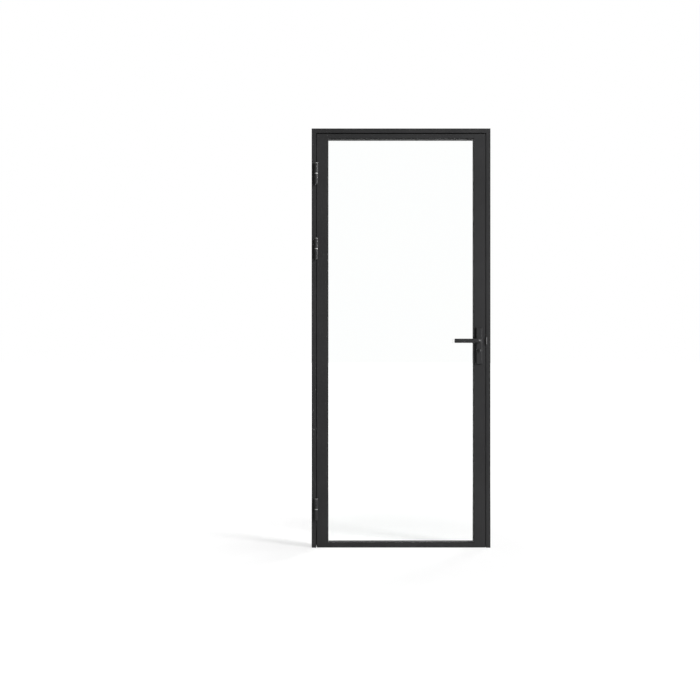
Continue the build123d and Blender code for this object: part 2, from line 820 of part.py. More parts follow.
def lever_and_grub(radius, reach):
    """A bent bar with its neck and its square hole, on the front plate, and its grub screw."""
    bar_axis_y = front_y - lever_offset
    route = FilletPolyline(
        (spindle_x, tube_start, lever_height),
        (spindle_x, bar_axis_y, lever_height),
        (spindle_x - reach, bar_axis_y, lever_height),
        radius=lever_bend,
    )
    lever = sweep(Plane(origin=route @ 0, z_dir=route % 0) * Circle(radius), path=route)
    lever = chamfer(lever.faces().sort_by(Axis.X)[0].edges(), lever_end_chamfer)
    lever += bar_y(spindle_x, lever_height, neck_radius, (tube_start - overrun, hole_end))
    square = spindle_size + 2 * square_clearance
    lever -= square_bar(spindle_x, lever_height, square, (hole_end - spindle_bite, hole_end + overrun))
    grub_y = plate_face_y - grub_offset
    grub_z = (lever_height - radius + grub_recess, lever_height - spindle_size / 2)
    lever -= rod(
        "Z",
        (spindle_x, grub_y, lever_height - radius / 2),
        grub_radius + thread_clearance,
        radius,
    )
    return lever, rod("Z", (spindle_x, grub_y, sum(grub_z) / 2), grub_radius, grub_z[1] - grub_z[0])


front_lever, front_grub = lever_and_grub(lever_radius, lever_reach)
back_lever, back_grub = lever_and_grub(back_lever_radius, back_lever_reach)
save("front_lever", front_lever)
save("back_lever", mirror(back_lever, Plane.XZ))
save("grub_screws", front_grub, mirror(back_grub, Plane.XZ))
spindle_end = hole_end - spindle_bite + spindle_end_gap
save("lever_spindle", square_bar(spindle_x, lever_height, spindle_size, (spindle_end, -spindle_end)))

# Thumbturn at the front and slotted release at the back, on a second square spindle
knob_y = plate_face_y - shoulder_gap
boss_end = front_y - turn_boss_gap
knob = bar_y(spindle_x, turn_height, knob_radius, (knob_y - knob_base, knob_y))
grip = bar_y(spindle_x, turn_height, knob_radius, (knob_y - knob_base - knob_grip, knob_y - knob_base))
half_grip = knob_grip_width / 2
grip &= block(
    (spindle_x - half_grip, spindle_x + half_grip),
    (knob_y - knob_base - knob_grip, knob_y - knob_base),
    (turn_height - knob_radius, turn_height + knob_radius),
)
grip = fillet(grip.faces().sort_by(Axis.Y)[0].edges(), knob_round)
thumbturn = knob + grip + bar_y(spindle_x, turn_height, turn_boss_radius, (knob_y - overrun, boss_end))
turn_square = turn_spindle_size + 2 * square_clearance
thumbturn -= square_bar(spindle_x, turn_height, turn_square, (boss_end - turn_bite, boss_end + overrun))
save("thumbturn", thumbturn)

release = bar_y(spindle_x, turn_height, knob_radius, (-knob_y, -knob_y + release_proud))
release += bar_y(spindle_x, turn_height, turn_boss_radius, (-boss_end, -knob_y + overrun))
release_face = -knob_y + release_proud
release -= square_bar(spindle_x, turn_height, turn_square, (-boss_end - overrun, -boss_end + release_bite))
release -= block(
    (spindle_x - release_slot_width / 2, spindle_x + release_slot_width / 2),
    (release_face - release_slot_depth, release_face + overrun),
    widened((turn_height - knob_radius, turn_height + knob_radius), overrun),
)
save("release_disc", release)
turn_ends = (boss_end - turn_bite + spindle_end_gap / 2, -boss_end + release_bite - spindle_end_gap / 2)
save("turn_spindle", square_bar(spindle_x, turn_height, turn_spindle_size, turn_ends))
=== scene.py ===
"""A framed glass door in anthracite powder coat, closed, seen from its pull side."""

import json
import math

import bmesh
import bpy
import numpy as np
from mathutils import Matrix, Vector


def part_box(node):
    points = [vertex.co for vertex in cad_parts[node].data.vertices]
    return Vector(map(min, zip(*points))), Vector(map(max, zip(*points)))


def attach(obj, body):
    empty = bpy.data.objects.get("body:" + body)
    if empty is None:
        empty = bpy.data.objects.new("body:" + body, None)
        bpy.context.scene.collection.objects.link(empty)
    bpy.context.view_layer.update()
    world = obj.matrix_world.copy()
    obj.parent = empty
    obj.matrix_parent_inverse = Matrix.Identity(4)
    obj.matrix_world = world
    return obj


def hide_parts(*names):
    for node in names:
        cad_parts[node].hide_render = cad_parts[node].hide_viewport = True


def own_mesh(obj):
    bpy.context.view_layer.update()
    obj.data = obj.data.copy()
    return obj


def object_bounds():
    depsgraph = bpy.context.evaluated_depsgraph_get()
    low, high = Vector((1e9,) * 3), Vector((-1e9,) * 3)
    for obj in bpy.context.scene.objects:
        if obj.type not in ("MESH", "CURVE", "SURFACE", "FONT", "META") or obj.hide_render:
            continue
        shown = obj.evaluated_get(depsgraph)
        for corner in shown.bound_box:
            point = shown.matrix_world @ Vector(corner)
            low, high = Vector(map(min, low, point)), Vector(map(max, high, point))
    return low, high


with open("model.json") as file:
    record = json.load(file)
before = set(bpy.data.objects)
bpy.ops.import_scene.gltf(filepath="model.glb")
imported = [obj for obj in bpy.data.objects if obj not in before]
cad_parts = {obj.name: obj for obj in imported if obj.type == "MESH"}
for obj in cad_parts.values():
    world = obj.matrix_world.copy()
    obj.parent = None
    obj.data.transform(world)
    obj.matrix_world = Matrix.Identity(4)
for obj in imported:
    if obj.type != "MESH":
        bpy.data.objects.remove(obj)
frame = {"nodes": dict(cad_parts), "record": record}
cad_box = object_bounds()
nodes = frame["nodes"]

# Camera: level and square to the door, a little below the lever and left of the door's middle.
# Its place and lens come from where the frame's edges and the floor's vanishing line lie in the
# photograph.
photo_width_px = 700
focal_px = 834.7
sensor_width = 36.0
camera_left = 0.257
camera_height = 0.995
camera_distance = 4.2

door_high = cad_box[1]
door_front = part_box("head")[0].y
camera_data = bpy.data.cameras.new("camera")
camera_data.sensor_width = sensor_width
camera_data.lens = focal_px / photo_width_px * sensor_width
camera = bpy.data.objects.new("camera", camera_data)
camera.location = (-camera_left, door_front - camera_distance, camera_height)
camera.rotation_euler = (math.radians(90), 0, 0)
bpy.context.scene.collection.objects.link(camera)
bpy.context.scene.camera = camera
bpy.context.scene.view_settings.view_transform = "Standard"

# Light: a tall soft key lamp far on the right in front of the door and above it, whose direction
# is that of the shadows beside the plate and the hinge barrels, a weaker round lamp low behind
# the door for its back, and a faint even room.
lamp_distance = 8.0
lamp_aim_share = 0.55
room_fill = 0.055

for name, direction, width, height, watts in (
    ("key_lamp", (1.8, -1.0, 0.75), 2.2, 6.0, 825.0),
    ("back_lamp", (0.75, 1.0, 0.12), 2.6, 2.6, 330.0),
):
    lamp_data = bpy.data.lights.new(name, "AREA")
    lamp_data.shape = "ELLIPSE"
    lamp_data.size = width
    lamp_data.size_y = height
    lamp_data.energy = watts
    lamp = bpy.data.objects.new(name, lamp_data)
    towards = Vector(direction).normalized()
    lamp.location = Vector((0, 0, door_high.z * lamp_aim_share)) + towards * lamp_distance
    lamp.rotation_mode = "QUATERNION"
    lamp.rotation_quaternion = towards.to_track_quat("Z", "Y")
    bpy.context.scene.collection.objects.link(lamp)


def seen_white(tree):
    """1 where the camera looks, also in a mirror or through glass, and 0 after a matt bounce."""
    below_one_bounce = 0.5
    ray = tree.nodes.new("ShaderNodeLightPath")
    share = ray.outputs["Is Camera Ray"]
    for kind in ("Is Transmission Ray", "Is Glossy Ray"):
        either = tree.nodes.new("ShaderNodeMath")
        either.operation = "MAXIMUM"
        tree.links.new(share, either.inputs[0])
        tree.links.new(ray.outputs[kind], either.inputs[1])
        share = either.outputs[0]
    before_bounce = tree.nodes.new("ShaderNodeMath")
    before_bounce.operation = "LESS_THAN"
    before_bounce.inputs[1].default_value = below_one_bounce
    tree.links.new(ray.outputs["Diffuse Depth"], before_bounce.inputs[0])
    both = tree.nodes.new("ShaderNodeMath")
    both.operation = "MULTIPLY"
    tree.links.new(share, both.inputs[0])
    tree.links.new(before_bounce.outputs[0], both.inputs[1])
    return both.outputs[0]


world = bpy.data.worlds.new("white_room")
world.use_nodes = True
bpy.context.scene.world = world
room = world.node_tree
room.nodes.clear()
strength = room.nodes.new("ShaderNodeMapRange")
strength.inputs["To Min"].default_value = room_fill
strength.inputs["To Max"].default_value = 1.0
background = room.nodes.new("ShaderNodeBackground")
background.inputs["Color"].default_value = (1, 1, 1, 1)
room_output = room.nodes.new("ShaderNodeOutputWorld")
room.links.new(seen_white(room), strength.inputs["Value"])
room.links.new(strength.outputs["Result"], background.inputs["Strength"])
room.links.new(background.outputs[0], room_output.inputs["Surface"])

# Floor: a wide pale sheet, white to the camera, that keeps a part of the door's shadow near it
# and fades to plain white further out.
floor_reach = 60.0
floor_tone = 0.86
shadow_share = 0.42
shadow_near = 0.6
shadow_far = 2.0
floor_white = 1.25

floor_corners = np.array([(-1, -1, 0), (1, -1, 0), (1, 1, 0), (-1, 1, 0)]) * floor_reach
floor_mesh = bpy.data.meshes.new("floor")
floor_mesh.from_pydata(floor_corners.tolist(), [], [(0, 1, 2, 3)])
floor = bpy.data.objects.new("floor", floor_mesh)
bpy.context.scene.collection.objects.link(floor)

floor_material = bpy.data.materials.new("pale_floor")
floor_material.use_nodes = True
tree = floor_material.node_tree
tree.nodes.clear()
place = tree.nodes.new("ShaderNodeTexCoord")
distance = tree.nodes.new("ShaderNodeVectorMath")
distance.operation = "LENGTH"
fade = tree.nodes.new("ShaderNodeMapRange")
fade.inputs["From Min"].default_value = shadow_near
fade.inputs["From Max"].default_value = shadow_far
fade.inputs["To Min"].default_value = 1.0 - shadow_share
fade.inputs["To Max"].default_value = 1.0
share = tree.nodes.new("ShaderNodeMath")
share.operation = "MULTIPLY"
matt = tree.nodes.new("ShaderNodeBsdfDiffuse")
matt.inputs["Color"].default_value = (floor_tone, floor_tone, floor_tone, 1)
white = tree.nodes.new("ShaderNodeEmission")
white.inputs["Color"].default_value = (1, 1, 1, 1)
white.inputs["Strength"].default_value = floor_white
mix = tree.nodes.new("ShaderNodeMixShader")
output = tree.nodes.new("ShaderNodeOutputMaterial")
tree.links.new(place.outputs["Object"], distance.inputs[0])
tree.links.new(distance.outputs["Value"], fade.inputs["Value"])
tree.links.new(seen_white(tree), share.inputs[0])
tree.links.new(fade.outputs["Result"], share.inputs[1])
tree.links.new(share.outputs[0], mix.inputs["Fac"])
tree.links.new(matt.outputs[0], mix.inputs[1])
tree.links.new(white.outputs[0], mix.inputs[2])
tree.links.new(mix.outputs[0], output.inputs["Surface"])
floor_mesh.materials.append(floor_material)


# Jambs and head: one hollow steel profile, mitred and welded at the two top corners and coated
# with a fine-textured anthracite powder, which is baked on and hides the ground welds.
def noise(tree, scale, detail, seed, stretch=(1, 1, 1)):
    """Smooth noise on Object coordinates. seed shifts it, and stretch draws it out along each
    axis."""
    coordinates = tree.nodes.new("ShaderNodeTexCoord")
    mapping = tree.nodes.new("ShaderNodeMapping")
    mapping.inputs["Location"].default_value = (seed, seed * 0.7, seed * 1.3)
    mapping.inputs["Scale"].default_value = [1 / s for s in stretch]
    texture = tree.nodes.new("ShaderNodeTexNoise")
    texture.inputs["Scale"].default_value = scale
    texture.inputs["Detail"].default_value = detail
    tree.links.new(coordinates.outputs["Object"], mapping.inputs["Vector"])
    tree.links.new(mapping.outputs["Vector"], texture.inputs["Vector"])
    return texture.outputs["Fac"]


def between(tree, factor, low, high):
    """A number that runs from low to high as the noise runs from a third to two thirds."""
    usual_low, usual_high = 0.34, 0.66
    span = tree.nodes.new("ShaderNodeMapRange")
    span.inputs["From Min"].default_value = usual_low
    span.inputs["From Max"].default_value = usual_high
    span.inputs["To Min"].default_value = low
    span.inputs["To Max"].default_value = high
    tree.links.new(factor, span.inputs["Value"])
    return span.outputs["Result"]


def two_tones(tree, factor, dark, light):
    """A colour between two colours, by the noise."""
    blend = tree.nodes.new("ShaderNodeMix")
    blend.data_type = "RGBA"
    blend.inputs["A"].default_value = (*dark, 1)
    blend.inputs["B"].default_value = (*light, 1)
    tree.links.new(between(tree, factor, 0.0, 1.0), blend.inputs["Factor"])
    return blend.outputs["Result"]


def relief(tree, height, depth, shader):
    """Raises the surface by depth metres where the noise is high."""
    bump = tree.nodes.new("ShaderNodeBump")
    bump.inputs["Strength"].default_value = 1.0
    bump.inputs["Distance"].default_value = depth
    tree.links.new(height, bump.inputs["Height"])
    tree.links.new(bump.outputs["Normal"], shader.inputs["Normal"])


def material(name):
    """A new material with its node tree and its shader."""
    made = bpy.data.materials.new(name)
    made.use_nodes = True
    return made, made.node_tree, made.node_tree.nodes["Principled BSDF"]


def finish_nodes(finish, *names):
    """Gives CAD nodes a material in every slot."""
    for name in names:
        slots = nodes[name].data.materials
        slots.clear()
        slots.append(finish)


def coated(name, dark, light, smooth, rough, shine, dulled):
    """A fine-textured coat. Its roughness runs from smooth to rough by a fine noise and rises by
    dulled where it is seen along the surface, so that the edges of flat faces don't shine."""
    slant_start, slant_full = 0.35, 0.75
    grain_depth = 0.00006
    made, tree, shader = material(name)
    tone = two_tones(tree, noise(tree, scale=5.0, detail=3, seed=1.0), dark, light)
    tree.links.new(tone, shader.inputs["Base Color"])
    facing = tree.nodes.new("ShaderNodeLayerWeight")
    matt_edge = tree.nodes.new("ShaderNodeMapRange")
    matt_edge.inputs["From Min"].default_value = slant_start
    matt_edge.inputs["From Max"].default_value = slant_full
    matt_edge.inputs["To Max"].default_value = dulled
    roughness = tree.nodes.new("ShaderNodeMath")
    tree.links.new(facing.outputs["Facing"], matt_edge.inputs["Value"])
    patches = between(tree, noise(tree, scale=90.0, detail=2, seed=2.0), smooth, rough)
    tree.links.new(patches, roughness.inputs[0])
    tree.links.new(matt_edge.outputs["Result"], roughness.inputs[1])
    tree.links.new(roughness.outputs[0], shader.inputs["Roughness"])
    shader.inputs["Specular IOR Level"].default_value = shine
    relief(tree, noise(tree, scale=1400.0, detail=3, seed=3.0), grain_depth, shader)
    return made


powder_coat = coated(
    "anthracite_powder_coat", dark=(0.036, 0.036, 0.037), light=(0.042, 0.042, 0.043),
    smooth=0.38, rough=0.45, shine=0.05, dulled=0.55,
)
finish_nodes(powder_coat, "hinge_jamb", "lock_jamb", "head")

# Stop seals: black rubber strips pushed into the groove of the stop lip on three sides, each with
# a hollow bulb that the leaf closes against and a barbed foot that holds it in the groove.
rubber_relief = 0.00004

rubber, tree, shader = material("black_rubber")
speckle = noise(tree, scale=220.0, detail=3, seed=4.0)
tone = two_tones(tree, speckle, dark=(0.008, 0.008, 0.008), light=(0.014, 0.014, 0.0145))
tree.links.new(tone, shader.inputs["Base Color"])
patches = between(tree, noise(tree, scale=600.0, detail=2, seed=5.0), low=0.6, high=0.75)
tree.links.new(patches, shader.inputs["Roughness"])
shader.inputs["Specular IOR Level"].default_value = 0.4
relief(tree, noise(tree, scale=900.0, detail=2, seed=6.0), rubber_relief, shader)


def quads(rows, columns, rows_close=False):
    """The faces between neighbouring points of a grid, numbered row by row, whose columns close
    on themselves and whose rows may."""
    row = np.arange(rows if rows_close else rows - 1)[:, None]
    column = np.arange(columns)[None, :]
    row_on, column_on = (row + 1) % rows, (column + 1) % columns
    corners = ((row, column), (row, column_on), (row_on, column_on), (row_on, column))
    numbers = np.stack([r * columns + c for r, c in corners], axis=-1)
    return numbers.reshape(-1, 4).tolist()


def swept(rings, rings_close=False):
    """Points and faces of a closed outline set at each station of a path, with its ends filled."""
    stations, count = rings.shape[:2]
    faces = quads(stations, count, rings_close)
    if not rings_close:
        last = (stations - 1) * count
        faces += [list(range(count)), list(range(last, last + count))]
    return rings.reshape(-1, 3), faces


def mitred(outline, corners, closes=False, parts=20):
    """An outline of (inward, y) points carried round a flat frame. Each corner is (x, z, right,
    up): there a point moves by its inward value along both, so that strips meet on the mitre.
    Between corners it moves in a straight line, in equal parts."""
    x, z, right, up = np.array(corners).T[:, :, None]
    inward, depth = outline.T
    level = np.broadcast_to(depth, (len(x), len(depth)))
    ends = np.stack([x + right * inward, level, z + up * inward], axis=-1)
    share = np.linspace(0, 1, parts, endpoint=False)[:, None, None]
    ahead = np.roll(ends, -1, axis=0)
    sides = ends[:, None] + (ahead - ends)[:, None] * share
    rings = sides.reshape(-1, *ends.shape[1:])
    return rings if closes else rings[: 1 + (len(x) - 1) * parts]


def add_piece(name, shells, finish, body, crease=32.0):
    """A new piece of one or more shells: doubles merged, faces outward, creased at sharp edges."""
    merge_within = 1e-6
    points, faces, count = [], [], 0
    for shell_points, shell_faces in shells:
        points.append(shell_points)
        faces += [[corner + count for corner in face] for face in shell_faces]
        count += len(shell_points)
    mesh = bpy.data.meshes.new(name)
    mesh.from_pydata(np.concatenate(points).tolist(), [], faces)
    work = bmesh.new()
    work.from_mesh(mesh)
    bmesh.ops.remove_doubles(work, verts=work.verts, dist=merge_within)
    bmesh.ops.recalc_face_normals(work, faces=work.faces)
    work.to_mesh(mesh)
    work.free()
    mesh.polygons.foreach_set("use_smooth", np.ones(len(mesh.polygons), bool))
    mesh.set_sharp_from_angle(angle=math.radians(crease))
    mesh.materials.append(finish)
    piece = bpy.data.objects.new(name, mesh)
    bpy.context.scene.collection.objects.link(piece)
    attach(piece, body)
    return piece


frame_corner_x, frame_top = door_high.x, door_high.z
frame_corners = [
    (-frame_corner_x, 0, 1, 0),
    (-frame_corner_x, frame_top, 1, -1),
    (frame_corner_x, frame_top, -1, -1),
    (frame_corner_x, 0, -1, 0),
]
seal_inward = 0.031
seal_face = 0.028
bulb_half_width = 0.004
bulb_rise = 0.0027
bulb_fullness = 0.75
bulb_points = 29
base_points = 11
bore_half_width = 0.0029
bore_half_rise = 0.00075
bore_depth = 0.0012
foot_millimetres = [
    (1.0, -0.1), (1.0, 0.5), (1.4, 0.9), (1.0, 1.3), (1.0, 1.7), (1.4, 2.1), (0.8, 2.4),
]

# The bulb's crown rises as a power of the angle's sine over a flat base. The bore is an ellipse
# whose points lie at the same angles as the bulb's. The foot is a half outline and its mirror.
turn = np.linspace(0, math.pi, bulb_points)
crown_depth = seal_face - bulb_rise * np.sin(turn) ** bulb_fullness
crown = np.stack([bulb_half_width * np.cos(turn), crown_depth], axis=-1)
base_across = np.linspace(-bulb_half_width, bulb_half_width, base_points)[1:-1]
base = np.stack([base_across, np.full(len(base_across), seal_face)], axis=-1)
bulb = np.concatenate([crown, base])
bore_centre = seal_face - bore_depth
around = np.arctan2((bulb[:, 1] - bore_centre) / bore_half_rise, bulb[:, 0] / bore_half_width)
bore_rise = bore_centre + bore_half_rise * np.sin(around)
bore = np.stack([bore_half_width * np.cos(around), bore_rise], axis=-1)
half_foot = np.array(foot_millimetres) / 1000
foot = np.concatenate([half_foot, half_foot[::-1] * (-1, 1)]) + (0, seal_face)
skin, lining = (mitred(ring + (seal_inward, 0), frame_corners) for ring in (bulb, bore))
seal_shells = [
    swept(np.concatenate([skin, lining[::-1]]), rings_close=True),
    swept(mitred(foot + (seal_inward, 0), frame_corners)),
]
stop_seal = add_piece("stop_seal_bulbs", seal_shells, rubber, "frame")
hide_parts("stop_seals")

# Leaf: four hollow steel profiles, the rails butted between full-height stiles and welded to
# them, in the same coat.
finish_nodes(powder_coat, "hinge_stile", "lock_stile", "top_rail", "bottom_rail")

# Pane: one sheet of clear toughened glass with ground edges, faintly green through its depth.
# Lamps shine through it, so that only the steel throws a shadow.
clear_glass, tree, shader = material("clear_glass")
shader.inputs["Base Color"].default_value = (0.985, 0.995, 0.99, 1)
shader.inputs["Transmission Weight"].default_value = 1.0
shader.inputs["IOR"].default_value = 1.5
shader.inputs["Roughness"].default_value = 0.0
ray = tree.nodes.new("ShaderNodeLightPath")
open_air = tree.nodes.new("ShaderNodeBsdfTransparent")
mix = tree.nodes.new("ShaderNodeMixShader")
tree.links.new(ray.outputs["Is Shadow Ray"], mix.inputs["Fac"])
tree.links.new(shader.outputs[0], mix.inputs[1])
tree.links.new(open_air.outputs[0], mix.inputs[2])
tree.links.new(mix.outputs[0], tree.nodes["Material Output"].inputs["Surface"])
finish_nodes(clear_glass, "glass_pane")

# Gaskets and setting blocks: rubber rings on both sides of the glass edge, and hard plastic
# blocks under the pane that carry its weight to the bottom rail.
glass_low, glass_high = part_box("glass_pane")
bead_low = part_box("level_beads")[0]
glass_corners = [
    (glass_low.x, glass_low.z, 1, 1),
    (glass_low.x, glass_high.z, 1, -1),
    (glass_high.x, glass_high.z, -1, -1),
    (glass_high.x, glass_low.z, -1, 1),
]
gasket_cover = bead_low.x - glass_low.x
groove_depth = 0.0004
groove_count = 3
nose_points = 13
back_points = 31


def gasket_outline(glass_y, steel_y):
    """Inward and y values of a gasket: flat on the glass, with a round nose at the sight line and
    shallow grooves on the steel side, whose depth is a squared sine."""
    half = (steel_y - glass_y) / 2
    turn = np.linspace(-math.pi / 2, math.pi / 2, nose_points)
    nose_inward = gasket_cover - abs(half) + abs(half) * np.cos(turn)
    nose_depth = glass_y + half + half * np.sin(turn)
    back_inward = np.linspace(gasket_cover - abs(half), 0, back_points)[1:]
    waves = np.sin(np.linspace(0, groove_count * math.pi, back_points)[1:]) ** 2
    back_depth = steel_y - math.copysign(groove_depth, half) * waves
    inward = np.concatenate([[0], nose_inward, back_inward])
    depth = np.concatenate([[glass_y], nose_depth, back_depth])
    return np.stack([inward, depth], axis=-1)


for name, node, glass_y, steel_y in (
    ("outer_wedge_gasket", "outer_gasket", glass_low.y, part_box("outer_gasket")[0].y),
    ("inner_wedge_gasket", "inner_gasket", glass_high.y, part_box("inner_gasket")[1].y),
):
    rings = mitred(gasket_outline(glass_y, steel_y), glass_corners, closes=True)
    gasket = add_piece(name, [swept(rings, rings_close=True)], rubber, "leaf")
    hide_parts(node)

black_plastic, tree, shader = material("black_plastic")
flow = noise(tree, scale=60.0, detail=2, seed=7.0)
tone = two_tones(tree, flow, dark=(0.016, 0.016, 0.016), light=(0.022, 0.022, 0.022))
tree.links.new(tone, shader.inputs["Base Color"])
shader.inputs["Roughness"].default_value = 0.5
finish_nodes(black_plastic, "setting_blocks")

# Beads: snap-in steel tubes that hold the pane from the back, the level ones between the upright
# ones, in the same coat.
finish_nodes(powder_coat, "upright_beads", "level_beads")

# Floor seal: an extruded strip of black rubber under the leaf, flat on top and ribbed below, so
# that its ribs close the gap to the floor.
floor_low, floor_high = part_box("floor_seal")
rib_count = 4
rib_height = 0.0018
rib_sharpness = 6
rib_points = 73
seal_stations = 20

# A rib hangs down wherever the even power of the cosine comes to 1.
rib_phase = np.linspace(0, (rib_count - 1) * math.pi, rib_points)
rib_y = np.linspace(floor_low.y, floor_high.y, rib_points)
rib_z = floor_low.z + rib_height * (1 - np.cos(rib_phase) ** rib_sharpness)
outline_y = np.append(rib_y, [floor_high.y, floor_low.y])
outline_z = np.append(rib_z, [floor_high.z] * 2)
outline = np.stack([outline_y, outline_z], axis=-1)
stations = np.linspace(floor_low.x, floor_high.x, seal_stations)
rings = np.concatenate([
    np.broadcast_to(stations[:, None, None], (seal_stations, len(outline), 1)),
    np.broadcast_to(outline, (seal_stations, len(outline), 2)),
], axis=-1)
ribbed_seal = add_piece("ribbed_floor_seal", [swept(rings)], rubber, "leaf")
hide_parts("floor_seal")


# Hinges: two turned steel knuckles on each pin, the lower welded to the jamb and the upper to the
# stile, in a smoother black coat, with a satin steel thrust washer between them.
def brushed(name, dark, light, smooth, rough, seed):
    """Brushed steel: streaks along Z in colour and roughness."""
    made, tree, shader = material(name)
    streaks = noise(tree, scale=260.0, detail=3, seed=seed, stretch=(1, 1, 6))
    tree.links.new(two_tones(tree, streaks, dark, light), shader.inputs["Base Color"])
    scratches = noise(tree, scale=500.0, detail=2, seed=seed + 1, stretch=(1, 1, 8))
    tree.links.new(between(tree, scratches, smooth, rough), shader.inputs["Roughness"])
    shader.inputs["Metallic"].default_value = 1.0
    return made


bright_steel = brushed(
    "bright_steel", dark=(0.42, 0.42, 0.41), light=(0.56, 0.56, 0.55),
    smooth=0.24, rough=0.36, seed=8.0,
)
satin_steel = brushed(
    "satin_stainless_steel", dark=(0.27, 0.27, 0.27), light=(0.33, 0.33, 0.33),
    smooth=0.38, rough=0.48, seed=10.0,
)
satin_black = coated(
    "satin_black_coat", dark=(0.019, 0.019, 0.02), light=(0.023, 0.023, 0.024),
    smooth=0.27, rough=0.33, shine=0.26, dulled=0.45,
)
finish_nodes(satin_black, "hinge_lower_knuckles", "hinge_upper_knuckles")
finish_nodes(bright_steel, "hinge_pins")
finish_nodes(satin_steel, "hinge_washers")

# Hinge welds: a bead along each knuckle's foot, where it meets the jamb's or the stile's face,
# laid in small ripples and coated together with the steel.
joints = frame["record"]["behaviour"]["joints"]
hinge_x, hinge_y, _ = next(joint for joint in joints if joint["name"] == "door_swing")["pos_m"]
hinge_heights = (0.1955, 1.5035, 1.8815)
foot_reach = 0.008
weld_radius = 0.0021
weld_ripple = 0.00022
weld_pitch = 0.0023
weld_sway = 0.00015
sway_rate = 420
weld_sag = 0.0004
weld_bluntness = 8
weld_stations = 121
weld_sides = 20
weld_seed_step = 1.7
weld_ends = {"frame": (-0.0505, -0.0045), "leaf": (0.0045, 0.0505)}


def weld_bead(corner_x, height, low_end, high_end, seed):
    """A bead in the corner of foot and face: a round bar whose radius ripples along it as the
    square root of a sine, and closes at both ends as the root of 1 less a high even power of the
    distance from its middle. It sways a little as a sine. seed shifts ripple and sway."""
    stations = np.linspace(-1, 1, weld_stations)[:, None]
    turn = np.linspace(0, 2 * math.pi, weld_sides, endpoint=False)[None, :]
    along = stations * (high_end - low_end) / 2
    scales = np.sqrt(np.abs(np.sin(math.pi * along / weld_pitch + seed)))
    closing = 1 - stations**weld_bluntness
    radius = (weld_radius + weld_ripple * (scales - 1)) * closing**0.5
    sway = weld_sway * np.sin(along * sway_rate + seed * 5)
    x = corner_x + sway + radius * np.cos(turn)
    y = door_front + radius * np.sin(turn)
    z = height + (low_end + high_end) / 2 + along - weld_sag * np.cos(turn) * closing
    return swept(np.stack(np.broadcast_arrays(x, y, z), axis=-1))


for body, side in (("frame", -1), ("leaf", 1)):
    corner_x = hinge_x + side * foot_reach
    beads = [
        weld_bead(corner_x, height, *weld_ends[body], weld_seed_step * number + side)
        for number, height in enumerate(hinge_heights)
    ]
    add_piece(f"{body}_hinge_welds", beads, powder_coat, body, crease=50.0)

# Hinge ends: a domed satin steel cap pressed on the chamfer at the top of each upper knuckle, and
# a flat steel plug that closes the bottom of each lower one.
half_barrel = 0.053
barrel_radius = 0.008
end_chamfer = 0.0015
cap_radius = 0.00825
cap_rim = -0.0009
cap_rise = 0.0014
dome_points = 16
plug_radius = 0.0063
plug_edge = 0.0003
plug_height = 0.0005


def turned(profile, height, sides=48):
    """Points of (radius, rise) turned about the hinge line: the radius times the cosine and the
    sine of the angle."""
    radius, rise = (values[:, None] for values in np.array(profile).T)
    angle = np.linspace(0, 2 * math.pi, sides, endpoint=False)[None, :]
    grid = (hinge_x + radius * np.cos(angle), hinge_y + radius * np.sin(angle), height + rise)
    points = np.stack(np.broadcast_arrays(*grid), axis=-1)
    return points.reshape(-1, 3), quads(len(profile), sides)


# The cap's top is a quarter of a squarish oval: the roots of the angle's cosine and sine, so that
# it clears the knuckle's edge everywhere.
quarter = np.linspace(0, math.pi / 2, dome_points)
dome_radius = cap_radius * np.sqrt(np.abs(np.cos(quarter)))
dome = zip(dome_radius, cap_rim + cap_rise * np.sqrt(np.sin(quarter)))
cap = [
    (0, 0), (barrel_radius - end_chamfer, 0), (barrel_radius, -end_chamfer),
    (cap_radius, -end_chamfer), *dome,
]
plug = [
    (0, 0), (plug_radius, 0), (plug_radius, plug_edge - plug_height),
    (plug_radius - plug_edge, -plug_height), (0, -plug_height),
]
for name, profile, end, body in (
    ("leaf_hinge_caps", cap, half_barrel, "leaf"),
    ("frame_hinge_plugs", plug, -half_barrel, "frame"),
):
    ends = [turned(profile, height + end) for height in hinge_heights]
    add_piece(name, ends, satin_steel, body)

# Lock: a folded steel case with its cover, in the stile behind the faceplate, and the two bolts
# with the followers that move them.
finish_nodes(bright_steel, "lock_case", "lock_cover", "faceplate", "lock_lugs")
finish_nodes(bright_steel, "latch_bolt", "latch_follower", "deadbolt", "turn_follower")

# Faceplate screws: two countersunk machine screws of bright steel with a hexagon socket and a cut
# thread, driven through the faceplate into the lugs behind it.
screw_sides = 36
socket_depth = 0.0018
head_dome = 0.0001
head_edge = 0.0001
dome_start = 0.8
dome_level = 0.7
thread_steps = 6
thread_depth = 0.55
thread_start = 0.0006
thread_end = 0.0004
tip_depth = 0.6
small_screw = {
    "radius": 0.002, "head_radius": 0.0036, "length": 0.009, "socket": 0.0025, "pitch": 0.0007,
}


